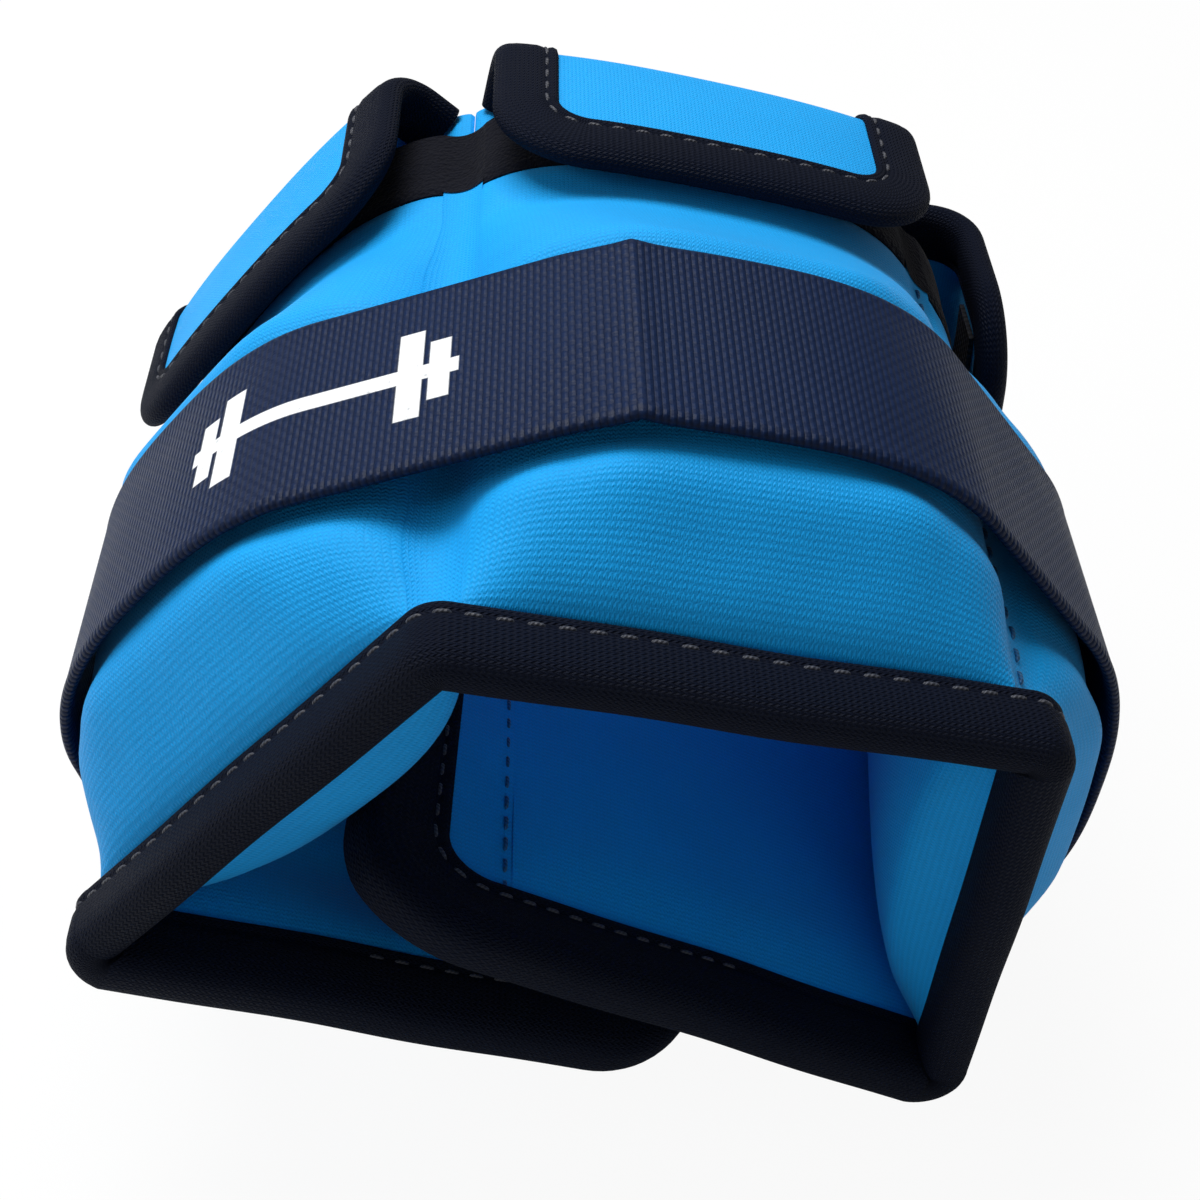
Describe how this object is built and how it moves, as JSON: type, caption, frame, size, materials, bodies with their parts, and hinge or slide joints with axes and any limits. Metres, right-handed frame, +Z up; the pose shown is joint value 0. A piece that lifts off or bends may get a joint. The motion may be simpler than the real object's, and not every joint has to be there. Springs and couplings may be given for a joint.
{
  "type": "ankle cuff weight",
  "caption": "Rolled and strapped neoprene ankle cuff weight with puffed pockets, closing flaps, tape-bound edges and a hook-and-loop strap, lying on its side.",
  "frame": {"origin": "Middle of the base of the bounding box, on the floor that the rolled cuff lies on.", "axes": "Y runs along the axis of the rolled cuff, with the strapped, tape-bound rim at -Y and the pocket flaps at +Y; X runs across the roll, with the outer end's fold at -X; +Z is up."},
  "size_m": [0.156, 0.135, 0.123],
  "materials": {
    "neoprene_blue": "matte",
    "binding_black": "matte",
    "loop_black": "matte",
    "hook_black": "matte",
    "strap_navy": "matte",
    "weight_grey": "matte"
  },
  "bodies": {
    "pocket_1": {"face_1": "neoprene_blue", "lining_1": "neoprene_blue", "loop_band_1": "loop_black", "rim_tape_1": "binding_black", "strap_1": "strap_navy", "tab_outer": "neoprene_blue", "tab_tape_outer": "binding_black"},
    "pocket_2": {"face_2": "neoprene_blue", "lining_2": "neoprene_blue", "loop_band_2": "loop_black", "rim_tape_2": "binding_black", "strap_2": "strap_navy", "strap_span_1": "strap_navy"},
    "pocket_3": {"face_3": "neoprene_blue", "lining_3": "neoprene_blue", "loop_band_3": "loop_black", "rim_tape_3": "binding_black", "strap_3": "strap_navy", "strap_span_2": "strap_navy"},
    "pocket_4": {"face_4": "neoprene_blue", "lining_4": "neoprene_blue", "loop_band_4": "loop_black", "rim_tape_4": "binding_black", "strap_4": "strap_navy", "strap_span_3": "strap_navy"},
    "pocket_5": {"face_5": "neoprene_blue", "lining_5": "neoprene_blue", "loop_band_5": "loop_black", "rim_tape_5": "binding_black", "strap_5": "strap_navy", "strap_span_4": "strap_navy", "tab_inner": "neoprene_blue", "tab_tape_inner": "binding_black"},
    "flap_1_body": {"flap_1": "neoprene_blue", "flap_tape_1": "binding_black", "flap_hook_1": "hook_black"},
    "weight_1_body": {"weight_1": "weight_grey"},
    "flap_2_body": {"flap_2": "neoprene_blue", "flap_tape_2": "binding_black", "flap_hook_2": "hook_black"},
    "weight_2_body": {"weight_2": "weight_grey"},
    "flap_3_body": {"flap_3": "neoprene_blue", "flap_tape_3": "binding_black", "flap_hook_3": "hook_black"},
    "weight_3_body": {"weight_3": "weight_grey"},
    "flap_4_body": {"flap_4": "neoprene_blue", "flap_tape_4": "binding_black", "flap_hook_4": "hook_black"},
    "weight_4_body": {"weight_4": "weight_grey"},
    "flap_5_body": {"flap_5": "neoprene_blue", "flap_tape_5": "binding_black", "flap_hook_5": "hook_black"},
    "weight_5_body": {"weight_5": "weight_grey"},
    "strap_tail_body": {"strap_tail": "strap_navy", "strap_hook": "hook_black"}
  },
  "joints": [
    {"name": "seam_1_unwrap", "type": "hinge", "parent": "pocket_1", "child": "pocket_2", "pos_m": [-0.06713, 0, 0.04521], "axis": [0, -1, 0], "range_deg": [0, 103.5], "deforming": ["strap_span_1"]},
    {"name": "seam_2_unwrap", "type": "hinge", "parent": "pocket_2", "child": "pocket_3", "pos_m": [-0.02111, 0, 0.10316], "axis": [0, -1, 0], "range_deg": [0, 61.5], "deforming": ["strap_span_2"]},
    {"name": "seam_3_unwrap", "type": "hinge", "parent": "pocket_3", "child": "pocket_4", "pos_m": [0.05178, 0, 0.09037], "axis": [0, -1, 0], "range_deg": [0, 78.2], "deforming": ["strap_span_3"]},
    {"name": "seam_4_unwrap", "type": "hinge", "parent": "pocket_4", "child": "pocket_5", "pos_m": [0.05416, 0, 0.01641], "axis": [0, -1, 0], "range_deg": [0, 119.2], "deforming": ["strap_span_4"]},
    {"name": "flap_1_hinge", "type": "hinge", "parent": "pocket_1", "child": "flap_1_body", "pos_m": [-0.03358, 0.06585, 0.0296], "axis": [0.9067, 0, -0.4218], "range_deg": [0, 95]},
    {"name": "weight_1_slide", "type": "slide", "parent": "pocket_1", "child": "weight_1_body", "axis": [0, 1, 0], "range_m": [0, 0.044]},
    {"name": "flap_2_hinge", "type": "hinge", "parent": "pocket_2", "child": "flap_2_body", "pos_m": [-0.04412, 0.06585, 0.07418], "axis": [-0.6218, 0, -0.7831], "range_deg": [0, 95]},
    {"name": "weight_2_slide", "type": "slide", "parent": "pocket_2", "child": "weight_2_body", "axis": [0, 1, 0], "range_m": [0, 0.044]},
    {"name": "flap_3_hinge", "type": "hinge", "parent": "pocket_3", "child": "flap_3_body", "pos_m": [0.01533, 0.06585, 0.09677], "axis": [-0.985, 0, 0.1728], "range_deg": [0, 95]},
    {"name": "weight_3_slide", "type": "slide", "parent": "pocket_3", "child": "weight_3_body", "axis": [0, 1, 0], "range_m": [0, 0.044]},
    {"name": "flap_4_hinge", "type": "hinge", "parent": "pocket_4", "child": "flap_4_body", "pos_m": [0.05297, 0.06585, 0.05339], "axis": [-0.0323, 0, 0.9995], "range_deg": [0, 95]},
    {"name": "weight_4_slide", "type": "slide", "parent": "pocket_4", "child": "weight_4_body", "axis": [0, 1, 0], "range_m": [0, 0.044]},
    {"name": "flap_5_hinge", "type": "hinge", "parent": "pocket_5", "child": "flap_5_body", "pos_m": [0.0213, 0.06585, 0.03341], "axis": [0.8882, 0, -0.4594], "range_deg": [0, 95]},
    {"name": "weight_5_slide", "type": "slide", "parent": "pocket_5", "child": "weight_5_body", "axis": [0, 1, 0], "range_m": [0, 0.044]},
    {"name": "strap_tail_peel", "type": "hinge", "parent": "pocket_1", "child": "strap_tail_body", "pos_m": [-0.01935, 0, 0], "axis": [0, 1, 0], "range_deg": [0, 60]}
  ],
  "couplings": [
    {"joint": "seam_2_unwrap", "follows": "seam_1_unwrap", "ratio": 0.5942},
    {"joint": "seam_3_unwrap", "follows": "seam_1_unwrap", "ratio": 0.75556},
    {"joint": "seam_4_unwrap", "follows": "seam_1_unwrap", "ratio": 1.1517},
    {"joint": "flap_1_hinge", "follows": "weight_1_slide", "rad_per_m": 37.683},
    {"joint": "flap_2_hinge", "follows": "weight_2_slide", "rad_per_m": 37.683},
    {"joint": "flap_3_hinge", "follows": "weight_3_slide", "rad_per_m": 37.683},
    {"joint": "flap_4_hinge", "follows": "weight_4_slide", "rad_per_m": 37.683},
    {"joint": "flap_5_hinge", "follows": "seam_1_unwrap", "ratio": 0.91787},
    {"joint": "weight_5_slide", "follows": "seam_1_unwrap", "m_per_rad": 0.024357}
  ]
}
